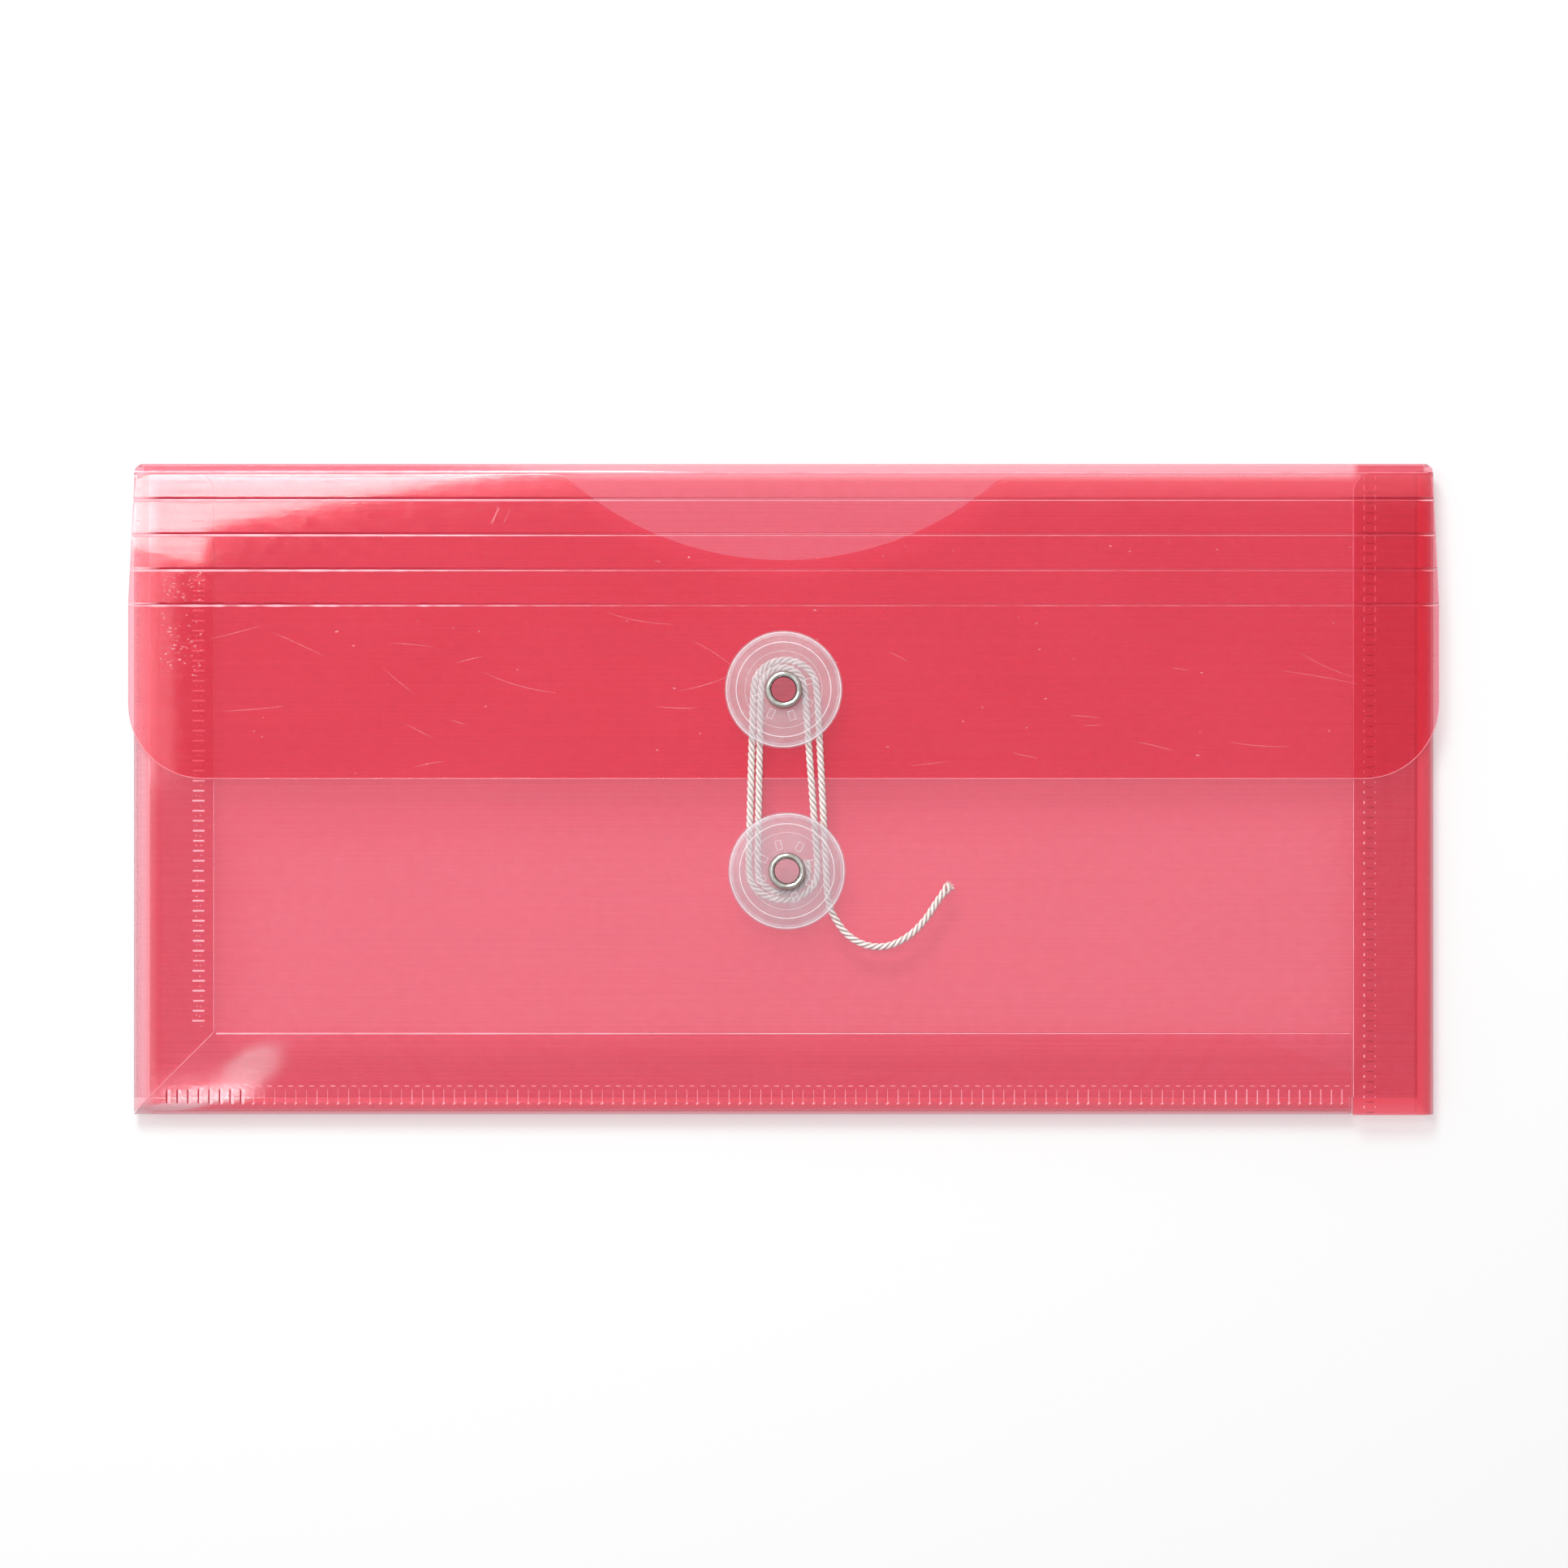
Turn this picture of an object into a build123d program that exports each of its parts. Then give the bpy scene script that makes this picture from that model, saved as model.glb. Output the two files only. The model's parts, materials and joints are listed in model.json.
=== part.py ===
from build123d import *
import os
from math import atan2, cos, degrees, hypot, pi, radians, sin, sqrt, tan

# A string tie envelope lying on its back. X runs along the envelope, Y up it
# towards the flap's fold, Z out of its front. The origin is under the middle
# of the back panel. Sizes are in millimetres, angles in degrees.

# Sheet and pocket
envelope_width = 254.0
envelope_height = 127.0
sheet = 0.5
fold_height = 6.5
tab_width = 16.0
tab_top_inset = 1.6
tab_corner_radius = 4.0
tab_gap = 0.3
front_edge_gap = 0.15
front_top_inset = 2.5
thumb_cut_width = 85.0
thumb_cut_depth = 16.3
thumb_cut_corner = 5.0

# Flap
flap_length = 61.5
flap_clearance = 0.3
flap_bend_radius = 2.2
flap_flare = 1.3
flap_overhang = 0.7
flap_top_chamfer = 1.0
flap_corner_radius = 14.6
flap_split_angle = 80.0
crease_count = 4
crease_pitch = 6.85
crease_gap = 0.1
crease_groove = 0.15

# Button and eyelet
upper_button_x = 0.0
upper_button_y = 19.4
lower_button_x = 0.65
lower_button_y = -15.9
button_radius = 11.45
button_thickness = 1.2
button_rim_drop = 0.3
button_rim_chamfer = 0.25
button_step = 0.15
button_step_radius = 9.2
button_ring_outer = 7.7
button_ring_inner = 6.45
button_ring_depth = 0.15
groove_height = 2.7
hub_wall = 0.54
pocket_count = 8
pocket_start_angle = 17.5
pocket_inner = 4.4
pocket_outer = 6.2
pocket_width = 1.1
pocket_depth = 0.35
running_gap = 0.1
bore_clearance = 0.06
eyelet_hole_radius = 2.4
eyelet_wall = 0.3
eyelet_rim_radius = 3.65
eyelet_rim_height = 0.85
eyelet_back_radius = 3.5
eyelet_back_thickness = 0.3
washer_radius = 11.0
washer_thickness = 0.3
hole_clearance = 0.05

# String
string_diameter = 1.3
string_height = 1.4
string_pitch = 1.8
string_upper_turn = 4.25
string_lower_turn = 4.95
string_lower_x = -0.1
string_anchor_angle = 10.0
string_lead = 1.3
string_exit_run = 2.6
tail_first_run = 3.6
tail_radius_share = 0.45
tail_route = [
    (9.9, -25.1, 6.85),
    (12.4, -28.6, 6.7),
    (16.3, -30.7, 6.7),
    (20.6, -30.7, 6.7),
    (24.8, -28.5, 6.7),
    (28.0, -25.0, 6.7),
    (30.3, -21.2, 6.7),
    (32.4, -18.7, 6.7),
]
gap_samples = 600

# Levels and edges that several pieces share
fold_radius = fold_height / 2
tab_under = fold_height - sheet
front_under = tab_under - sheet
flap_under = fold_height + flap_clearance
flap_face = flap_under + sheet
right_edge = envelope_width / 2
top_edge = envelope_height / 2
tab_top = top_edge - tab_top_inset
flap_bottom = top_edge - flap_length
flap_half_width = right_edge + flap_overhang
flap_top_half_width = flap_half_width - flap_flare
last_crease = top_edge - crease_count * crease_pitch
barrel_radius = eyelet_hole_radius + eyelet_wall
hole_radius = barrel_radius + hole_clearance
bore_radius = barrel_radius + bore_clearance
hub_radius = bore_radius + hub_wall
button_top = groove_height + button_thickness


def outline(*points):
    return make_face(Polyline(*points, close=True))


def rounded(face, radius, *corners):
    picked = [face.vertices().sort_by_distance((x, y, 0))[0] for x, y in corners]
    return fillet(picked, radius)


def slab(face, bottom, top):
    return extrude(Pos(0, 0, bottom) * face, amount=top - bottom)


# The back panel is the flat of the sheet between its folds. Beside the flap's
# fold it keeps its full width, and at the lower right it runs on under the
# square end of the right tab.
def back_panel():
    side = right_edge - fold_radius
    low = fold_radius - top_edge
    ear = tab_top + tab_gap
    foot = right_edge - tab_width
    ear_side = flap_top_half_width - flap_top_chamfer
    face = outline(
        (-side, low), (foot, low), (foot, -top_edge), (side, -top_edge), (side, ear),
        (ear_side, ear), (ear_side, top_edge), (-ear_side, top_edge),
        (-ear_side, ear), (-side, ear),
    )
    return slab(face, 0, sheet)


# Section of a folded edge: a half-round bend out of the back panel, then the
# flat tab that laps over the front panel. It starts at the envelope's edge.
def fold_section():
    inner = fold_radius - sheet
    centre = (fold_radius, fold_radius)
    half_turn = 180
    top_angle = 90
    return make_face([
        CenterArc(centre, fold_radius, top_angle, half_turn).edge(),
        Line((fold_radius, 0), (fold_radius, sheet)).edge(),
        CenterArc(centre, inner, top_angle, half_turn).edge(),
        Line((fold_radius, tab_under), (tab_width, tab_under)).edge(),
        Line((tab_width, tab_under), (tab_width, fold_height)).edge(),
        Line((tab_width, fold_height), (fold_radius, fold_height)).edge(),
    ])


def folded_tab(origin, inward, along, plan):
    section = Plane(origin=origin, x_dir=inward, z_dir=along) * fold_section()
    return extrude(section, amount=envelope_width, both=True) & slab(plan, 0, fold_height)


# The left tab is mitred against the bottom one, the right tab ends square.
def left_side_tab():
    outer = -right_edge
    inner = tab_width - right_edge
    mitre = tab_gap - top_edge
    plan = outline(
        (outer, tab_top), (inner, tab_top), (inner, mitre + tab_width), (outer, mitre),
    )
    plan = rounded(plan, tab_corner_radius, (inner, tab_top))
    return folded_tab((outer, 0, 0), (1, 0, 0), (0, -1, 0), plan)


def right_side_tab():
    outer = right_edge
    inner = right_edge - tab_width
    plan = outline((outer, tab_top), (inner, tab_top), (inner, -top_edge), (outer, -top_edge))
    plan = rounded(plan, tab_corner_radius, (inner, tab_top))
    return folded_tab((outer, 0, 0), (-1, 0, 0), (0, 1, 0), plan)


def bottom_tab():
    low = -top_edge
    high = low + tab_width
    right = right_edge - tab_width - tab_gap
    plan = outline(
        (-right_edge, low), (right, low), (right, high), (tab_width - right_edge, high),
    )
    return folded_tab((0, low, 0), (0, 1, 0), (1, 0, 0), plan)


# The front panel is a separate sheet that lies under the three tabs, welded to
# them. A wide shallow thumb cut is taken out of its top edge.
def front_panel():
    side = right_edge - fold_radius - front_edge_gap
    low = fold_radius + front_edge_gap - top_edge
    high = top_edge - front_top_inset
    half = thumb_cut_width / 2
    radius = (half**2 + thumb_cut_depth**2) / (2 * thumb_cut_depth)
    face = outline((-side, low), (side, low), (side, high), (-side, high))
    face -= Pos(0, high - thumb_cut_depth + radius) * Circle(radius)
    face = rounded(face, thumb_cut_corner, (-half, high), (half, high))
    face -= Pos(lower_button_x, lower_button_y) * Circle(hole_radius)
    return slab(face, front_under, tab_under)


# Plan of the flap: it flares from the fold to the last crease, and its lower
# corners are well rounded.
def flap_plan():
    top = flap_top_half_width
    wide = flap_half_width
    shoulder = top_edge - flap_top_chamfer
    face = outline(
        (top - flap_top_chamfer, top_edge), (top, shoulder), (wide, last_crease),
        (wide, flap_bottom), (-wide, flap_bottom), (-wide, last_crease),
        (-top, shoulder), (flap_top_chamfer - top, top_edge),
    )
    return rounded(face, flap_corner_radius, (wide, flap_bottom), (-wide, flap_bottom))


def flap_piece(section):
    bar = extrude(Plane.YZ * section, amount=envelope_width, both=True)
    return bar & slab(flap_plan(), 0, flap_face)


# Part of the rounded bend at the flap's fold, from one angle to another.
def bend_sector(start, end):
    centre = Vector(top_edge - flap_bend_radius, flap_face - flap_bend_radius)
    inner = flap_bend_radius - sheet

    def at(radius, angle):
        return centre + Vector(radius * cos(radians(angle)), radius * sin(radians(angle)))

    middle = (start + end) / 2
    return make_face([
        ThreePointArc(at(inner, start), at(inner, middle), at(inner, end)).edge(),
        Line(at(inner, end), at(flap_bend_radius, end)).edge(),
        ThreePointArc(
            at(flap_bend_radius, end), at(flap_bend_radius, middle), at(flap_bend_radius, start)
        ).edge(),
        Line(at(flap_bend_radius, start), at(inner, start)).edge(),
    ])


# Angle that half a crease's gap takes up on the bend.
def split_half_angle():
    return degrees(crease_gap / 2 / flap_bend_radius)


def flap_wall():
    low = sheet + crease_gap
    high = flap_face - flap_bend_radius
    flat = outline(
        (top_edge - sheet, low), (top_edge, low), (top_edge, high), (top_edge - sheet, high),
    )
    return flap_piece(flat + bend_sector(0, flap_split_angle - split_half_angle()))


# Section of the flap between two places down it. A crease leaves a gap with
# bevelled upper edges.
def strip_section(upper, lower, upper_crease, lower_crease):
    bevel_up = crease_groove if upper_crease else 0
    bevel_low = crease_groove if lower_crease else 0
    points = [(upper, flap_under), (upper, flap_face - bevel_up)]
    if upper_crease:
        points.append((upper - bevel_up, flap_face))
    if lower_crease:
        points.append((lower + bevel_low, flap_face))
    points += [(lower, flap_face - bevel_low), (lower, flap_under)]
    return outline(*points)


def flap_strip(number):
    upper = top_edge - (number - 1) * crease_pitch - crease_gap / 2
    lower = top_edge - number * crease_pitch + crease_gap / 2
    if number > 1:
        return flap_piece(strip_section(upper, lower, True, True))
    flat = strip_section(top_edge - flap_bend_radius, lower, False, True)
    right_angle = 90
    return flap_piece(flat + bend_sector(flap_split_angle + split_half_angle(), right_angle))


def flap_panel():
    panel = flap_piece(strip_section(last_crease - crease_gap / 2, flap_bottom, True, False))
    hole = Pos(upper_button_x, upper_button_y) * Circle(hole_radius)
    return panel - slab(hole, 0, flap_face)


# A moulded spool: a hub that the string winds round and a wide disc over it.
# The disc has a stepped top, a ring sunk in its underside and radial pockets.
def button(x, y, face):
    edge = button_top - button_step - button_rim_drop
    step_foot = button_top - button_step
    ring = groove_height + button_ring_depth
    section = outline(
        (bore_radius, running_gap), (hub_radius, running_gap), (hub_radius, groove_height),
        (button_ring_inner, groove_height), (button_ring_inner, ring),
        (button_ring_outer, ring), (button_ring_outer, groove_height),
        (button_radius - button_rim_chamfer, groove_height),
        (button_radius, groove_height + button_rim_chamfer), (button_radius, edge - button_rim_chamfer),
        (button_radius - button_rim_chamfer, edge), (button_step_radius, step_foot),
        (button_step_radius, button_top), (bore_radius, button_top),
    )
    spool = revolve(Plane.XZ * section, Axis.Z)
    pocket = Pos((pocket_inner + pocket_outer) / 2, 0) * Rectangle(pocket_outer - pocket_inner, pocket_width)
    full_turn = 360
    for number in range(pocket_count):
        turn = Rot(0, 0, pocket_start_angle + number * full_turn / pocket_count)
        spool -= slab(turn * pocket, groove_height, groove_height + pocket_depth)
    return Pos(x, y, face) * spool


# A metal eyelet that rivets the button, the sheet and the backing washer. Its
# rim is rolled over on top and its foot is clenched flat behind.
def eyelet(x, y, face):
    seat = button_top + running_gap
    crest = seat + eyelet_rim_height
    crown_radius = (eyelet_hole_radius + eyelet_rim_radius) / 2
    throat = seat + eyelet_rim_height / 2
    back = -sheet - washer_thickness
    foot = back - eyelet_back_thickness
    section = make_face([
        Line((barrel_radius, back), (barrel_radius, seat)).edge(),
        Line((barrel_radius, seat), (eyelet_rim_radius, seat)).edge(),
        Line((eyelet_rim_radius, seat), (eyelet_rim_radius, throat)).edge(),
        ThreePointArc(
            (eyelet_rim_radius, throat), (crown_radius, crest), (eyelet_hole_radius, throat)
        ).edge(),
        Line((eyelet_hole_radius, throat), (eyelet_hole_radius, foot)).edge(),
        Line((eyelet_hole_radius, foot), (eyelet_back_radius, foot)).edge(),
        Line((eyelet_back_radius, foot), (eyelet_back_radius, back)).edge(),
        Line((eyelet_back_radius, back), (barrel_radius, back)).edge(),
    ])
    return Pos(x, y, face) * revolve(Plane.XZ * section, Axis.Z)


def backing_washer(x, y, face):
    ring = Circle(washer_radius) - Circle(hole_radius)
    return Pos(x, y, face) * slab(ring, -sheet - washer_thickness, -sheet)


# The string winds twice round both buttons, always clockwise, in one plane
# that slopes with the step from the flap down to the front panel. Each turn is
# an arc, each strand the common tangent of the turns that it joins.
def string_plane():
    rise = flap_face - tab_under
    run = upper_button_y - lower_button_y
    long = hypot(rise, run)
    origin = (upper_button_x, upper_button_y, flap_face + string_height)
    return Plane(origin=origin, x_dir=(1, 0, 0), z_dir=(0, -rise / long, run / long)), long


def tangent_normal(start, start_radius, end, end_radius):
    span = end - start
    along = span.normalized()
    lean = (start_radius - end_radius) / span.length
    return along * lean + Vector(-along.Y, along.X) * sqrt(1 - lean**2)


def turn_arc(centre, radius, arriving, leaving):
    first = atan2(arriving.Y, arriving.X)
    last = atan2(leaving.Y, leaving.X)
    if last > first:
        last -= 2 * pi
    middle = (first + last) / 2
    crest = centre + Vector(cos(middle), sin(middle)) * radius
    return ThreePointArc(centre + arriving * radius, crest, centre + leaving * radius).edge()


def winding_path():
    plane, long = string_plane()
    upper = Vector(0, 0)
    lower = Vector(string_lower_x - upper_button_x, -long)
    turns = [
        (lower, string_lower_turn), (upper, string_upper_turn),
        (lower, string_lower_turn + string_pitch), (upper, string_upper_turn + string_pitch),
        (lower, string_lower_turn + string_pitch * 2),
    ]
    start = radians(string_anchor_angle)
    arriving = Vector(cos(start), sin(start))
    first = lower + arriving * string_lower_turn
    lead = Vector(-arriving.Y, arriving.X) * string_lead
    edges = [Line(first + lead, first).edge()]
    for (centre, radius), (onward, next_radius) in zip(turns, turns[1:]):
        leaving = tangent_normal(centre, radius, onward, next_radius)
        edges.append(turn_arc(centre, radius, arriving, leaving))
        reached = onward + leaving * next_radius
        if onward is turns[-1][0] and next_radius == turns[-1][1]:
            reached += Vector(leaving.Y, -leaving.X) * string_exit_run
        edges.append(Line(centre + leaving * radius, reached).edge())
        arriving = leaving
    return plane * Wire(edges)


def least_gap(path):
    points = [path.position_at(i / (gap_samples - 1)) for i in range(gap_samples)]
    step = path.length / (gap_samples - 1)
    skip = int(string_diameter * pi / step) + 1
    least = min(
        (points[i] - points[j]).length
        for i in range(gap_samples)
        for j in range(i + skip, gap_samples)
    )
    return least - string_diameter


def tube(path):
    start = Plane(origin=path.position_at(0), z_dir=path.tangent_at(0))
    solid = sweep(start * Circle(string_diameter / 2), path=path)
    expected = pi * string_diameter**2 / 4 * path.length
    print(f"tube {path.length:.2f} mm long, volume {solid.volume:.3f}, expected {expected:.3f}")
    return solid


def string_winding():
    path = winding_path()
    print(f"least gap between the string's turns: {least_gap(path):.3f} mm")
    return tube(path)


# The tail leaves under the lower button and lies in a loose hook on the front
# panel, with each bend as large as its two runs allow.
def string_tail():
    strand = winding_path()
    start = strand.position_at(1)
    points = [start, start + strand.tangent_at(1) * tail_first_run]
    points += [Vector(*point) for point in tail_route]
    radii = []
    for before, corner, after in zip(points, points[1:], points[2:]):
        arrive = corner - before
        leave = after - corner
        half_turn = radians(arrive.get_angle(leave) / 2)
        radii.append(tail_radius_share * min(arrive.length, leave.length) / tan(half_turn))
    print("tail radii", [round(radius, 2) for radius in radii])
    return tube(FilletPolyline(*points, radius=radii).wire())


def envelope_parts():
    upper = (upper_button_x, upper_button_y, flap_face)
    lower = (lower_button_x, lower_button_y, tab_under)
    parts = {
        "back_panel": back_panel(),
        "left_side_tab": left_side_tab(),
        "right_side_tab": right_side_tab(),
        "bottom_tab": bottom_tab(),
        "front_panel": front_panel(),
        "flap_wall": flap_wall(),
        "flap_panel": flap_panel(),
        "string_winding": string_winding(),
        "string_tail": string_tail(),
    }
    for number in range(1, crease_count + 1):
        parts[f"flap_strip_{number}"] = flap_strip(number)
    for name, place in (("upper", upper), ("lower", lower)):
        parts[f"{name}_button"] = button(*place)
        parts[f"{name}_eyelet"] = eyelet(*place)
        parts[f"{name}_backing_washer"] = backing_washer(*place)
    return parts


os.makedirs("parts", exist_ok=True)
for name, part in envelope_parts().items():
    export_step(part, f"parts/{name}.step")
    print(name, round(part.volume, 2))
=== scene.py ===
import json
import math
import random

import bmesh
import bpy
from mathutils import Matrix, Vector


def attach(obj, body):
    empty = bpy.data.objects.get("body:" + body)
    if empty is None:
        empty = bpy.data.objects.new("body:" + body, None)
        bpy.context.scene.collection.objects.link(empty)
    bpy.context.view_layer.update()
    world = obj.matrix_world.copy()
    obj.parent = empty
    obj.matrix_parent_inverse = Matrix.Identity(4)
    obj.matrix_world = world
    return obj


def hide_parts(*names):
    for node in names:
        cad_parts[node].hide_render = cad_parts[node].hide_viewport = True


mm = 0.001
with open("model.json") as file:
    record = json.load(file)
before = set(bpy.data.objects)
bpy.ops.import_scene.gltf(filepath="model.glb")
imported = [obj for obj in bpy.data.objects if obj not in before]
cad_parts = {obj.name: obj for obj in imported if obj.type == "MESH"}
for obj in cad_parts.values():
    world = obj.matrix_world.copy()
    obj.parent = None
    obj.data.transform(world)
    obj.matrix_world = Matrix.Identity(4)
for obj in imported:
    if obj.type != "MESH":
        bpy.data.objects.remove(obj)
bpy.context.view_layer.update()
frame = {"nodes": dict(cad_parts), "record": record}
nodes = frame["nodes"]
print("frame loaded,", len(nodes), "nodes")

scene = bpy.context.scene
scene.view_settings.view_transform = "Standard"
scene.cycles.transparent_max_bounces = 48  # four sheets, a disc and a washer lie on each other


# camera, straight above the envelope

cameraSet = {
    "lens": 135, "sensor": 36,
    "frameWidth": 306.1 * mm,  # what the picture is wide, at the level of the tabs
    "level": 5 * mm, "centre": (0.08 * mm, 1.03 * mm), "clipRatio": 100,
}


def makeCamera(s):
    data = bpy.data.cameras.new("topCamera")
    data.lens = s["lens"]
    data.sensor_width = s["sensor"]
    camera = bpy.data.objects.new("topCamera", data)
    scene.collection.objects.link(camera)
    distance = s["frameWidth"] * s["lens"] / s["sensor"]
    camera.location = (*s["centre"], s["level"] + distance)
    data.clip_start = distance / s["clipRatio"]
    data.clip_end = distance * s["clipRatio"]
    scene.camera = camera
    return distance


cameraDistance = makeCamera(cameraSet)
print("camera set", round(cameraDistance, 3), "m above")


# node helpers

def newMaterial(name):
    material = bpy.data.materials.new(name)
    material.use_nodes = True
    tree = material.node_tree
    tree.nodes.clear()
    return material, tree


def addNode(tree, kind, inputs=(), **values):
    node = tree.nodes.new("ShaderNode" + kind)
    for key, value in values.items():
        setattr(node, key, value)
    for key, value in dict(inputs).items():
        node.inputs[key].default_value = value
    return node


def wire(tree, source, target):
    tree.links.new(source, target)


def maths(tree, operation, first, second=None, clamp=False):
    node = addNode(tree, "Math", operation=operation, use_clamp=clamp)
    for socket, value in zip(node.inputs, (first, second)):
        if value is None:
            continue
        if isinstance(value, (int, float)):
            socket.default_value = value
        else:
            wire(tree, value, socket)
    return node.outputs[0]


def stretched(tree, scale):
    place = addNode(tree, "TexCoord")
    mapping = addNode(tree, "Mapping", {"Scale": scale})
    wire(tree, place.outputs["Object"], mapping.inputs["Vector"])
    return mapping.outputs["Vector"]


def oval(tree, vector, centre, half, turn):
    place = {"Location": (*centre, 0), "Rotation": (0, 0, math.radians(turn)), "Scale": (*half, 1 / mm)}
    mapping = addNode(tree, "Mapping", place, vector_type="TEXTURE")
    wire(tree, vector, mapping.inputs["Vector"])
    fade = addNode(tree, "TexGradient", gradient_type="SPHERICAL")  # 1 in the middle, 0 outside
    wire(tree, mapping.outputs["Vector"], fade.inputs["Vector"])
    soft = addNode(tree, "MapRange", interpolation_type="SMOOTHERSTEP")
    wire(tree, fade.outputs["Fac"], soft.inputs["Value"])
    return soft.outputs["Result"]


def noise(tree, vector, scale, detail=2.0, rough=0.5):
    node = addNode(tree, "TexNoise", {"Scale": scale, "Detail": detail, "Roughness": rough})
    wire(tree, vector, node.inputs["Vector"])
    return node.outputs["Fac"]


noiseShares = (0.3, 0.7)  # most of the noise lies between these
coreShares = (0.35, 0.65)  # the same, with more contrast


def ranged(tree, value, low, high, toLow=0.0, toHigh=1.0):
    limits = {"From Min": low, "From Max": high, "To Min": toLow, "To Max": toHigh}
    node = addNode(tree, "MapRange", limits)
    wire(tree, value, node.inputs["Value"])
    return node.outputs["Result"]


def blended(tree, share, first, second):
    node = addNode(tree, "Mix", data_type="RGBA")
    wire(tree, share, node.inputs["Factor"])
    a, b = [s for s in node.inputs if s.type == "RGBA"]
    for socket, value in ((a, first), (b, second)):
        if isinstance(value, tuple):
            socket.default_value = (*value, 1)
        else:
            wire(tree, value, socket)
    return [s for s in node.outputs if s.type == "RGBA"][0]


def bumped(tree, height, distance, strength):
    node = addNode(tree, "Bump", {"Distance": distance, "Strength": strength})
    wire(tree, height, node.inputs["Height"])
    return node.outputs["Normal"]


def levelness(tree):
    geometry = addNode(tree, "NewGeometry")
    split = addNode(tree, "SeparateXYZ")
    wire(tree, geometry.outputs["Normal"], split.inputs["Vector"])
    return maths(tree, "ABSOLUTE", split.outputs["Z"])  # 1 on a level face, 0 on an upright one


def tinted(tree, kind, colour):
    return addNode(tree, kind, {"Color": (*colour, 1)})


def mixedShaders(tree, share, first, second):
    node = addNode(tree, "MixShader")
    wire(tree, share, node.inputs["Fac"])
    wire(tree, first.outputs[0], node.inputs[1])
    wire(tree, second.outputs[0], node.inputs[2])
    return node


def showShader(tree, shader, kind="OutputMaterial"):
    wire(tree, shader.outputs[0], addNode(tree, kind).inputs["Surface"])


# see-through plastic: a tinted clear share and a hazy, glossy share

def plastic(name, s):
    material, tree = newMaterial(name)
    plain = stretched(tree, (1, 1, 1))
    cloud = noise(tree, plain, s["cloudScale"], detail=0.0)
    mottle = noise(tree, plain, s["mottleScale"], detail=1.0)
    drawn = noise(tree, stretched(tree, s["drawnStretch"]), scale=1.0, detail=0.0)  # roller lines
    mottled = ranged(tree, mottle, *noiseShares, 1 - s["mottleShare"], 1 + s["mottleShare"])
    lined = ranged(tree, drawn, *noiseShares, 1 - s["drawnShare"], 1 + s["drawnShare"])
    haze = maths(tree, "MULTIPLY", maths(tree, "MULTIPLY", mottled, lined), s["hazeShare"])

    inMm = stretched(tree, (1 / mm, 1 / mm, 1 / mm))
    spot = addNode(tree, "SeparateXYZ")
    wire(tree, inMm, spot.inputs["Vector"])
    foldSheen = None  # painted sheen of the curved folds, with some whitening of the bent plastic, by distance from each edge
    for axis, flat, edge, share in s["folds"]:
        side = ranged(tree, spot.outputs[axis], flat, edge, 0.0, share)
        if axis == "Y":
            for end, endShares in s["foldEnds"]:  # where the painted sheen along a fold of the envelope fades
                faded = ranged(tree, spot.outputs["X"], *end, *endShares)
                side = maths(tree, "MULTIPLY", side, faded)
        foldSheen = side if foldSheen is None else maths(tree, "MAXIMUM", foldSheen, side)
    deeper = None
    for axis, start, edge, nearShare, farShare in s["dense"]:  # the bend is seen through more plastic
        begun = ranged(tree, spot.outputs[axis], start, start + (edge - start) * s["startShare"])
        thick = ranged(tree, spot.outputs[axis], start, edge, nearShare, farShare)
        bend = maths(tree, "MULTIPLY", begun, thick)
        deeper = bend if deeper is None else maths(tree, "MAXIMUM", deeper, bend)
    if deeper is not None:
        upper = ranged(tree, spot.outputs["Z"], *s["denseRise"])
        haze = maths(tree, "ADD", haze, maths(tree, "MULTIPLY", upper, deeper))
    # upright faces take the painted rim colour: painted shade, a dark outline, on the red sheets, and painted
    # highlight on the frosted plastic
    upright = ranged(tree, levelness(tree), *s["rimSlopes"], 1.0, 0.0)
    haze = maths(tree, "ADD", haze, maths(tree, "MULTIPLY", foldSheen, s["foldSheenShare"]))
    haze = maths(tree, "ADD", haze, maths(tree, "MULTIPLY", upright, s["paintedRimShare"]), clamp=True)

    solid = addNode(tree, "BsdfPrincipled", {"IOR": s["ior"]})
    clouded = ranged(tree, cloud, *coreShares)
    patchy = blended(tree, clouded, s["deepColour"], s["hazyColour"])
    turned = blended(tree, foldSheen, patchy, s["foldSheenColour"])
    for centre, half, turn, share, colour in s["hazeSpotsAndHighlights"]:  # pale spots: painted highlights on the bottom-left fold and at the welds, and a hazier round spot
        spread = oval(tree, inMm, centre, half, turn)
        haze = maths(tree, "ADD", haze, maths(tree, "MULTIPLY", spread, share), clamp=True)
        turned = blended(tree, ranged(tree, spread, 0.0, s["patchShare"]), turned, colour)
    wire(tree, blended(tree, upright, turned, s["paintedRimColour"]), solid.inputs["Base Color"])
    wire(tree, ranged(tree, mottle, *noiseShares, *s["roughness"]), solid.inputs["Roughness"])
    wire(tree, bumped(tree, drawn, s["bumpDistance"], s["bumpStrength"]), solid.inputs["Normal"])

    clear = tinted(tree, "BsdfTransparent", s["clearTint"])
    lampLight = tinted(tree, "BsdfTransparent", s["lampTint"])  # what the lamps send through a face
    ray = addNode(tree, "LightPath")
    seen = mixedShaders(tree, haze, clear, solid)
    showShader(tree, mixedShaders(tree, ray.outputs["Is Shadow Ray"], seen, lampLight))
    return material


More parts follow.
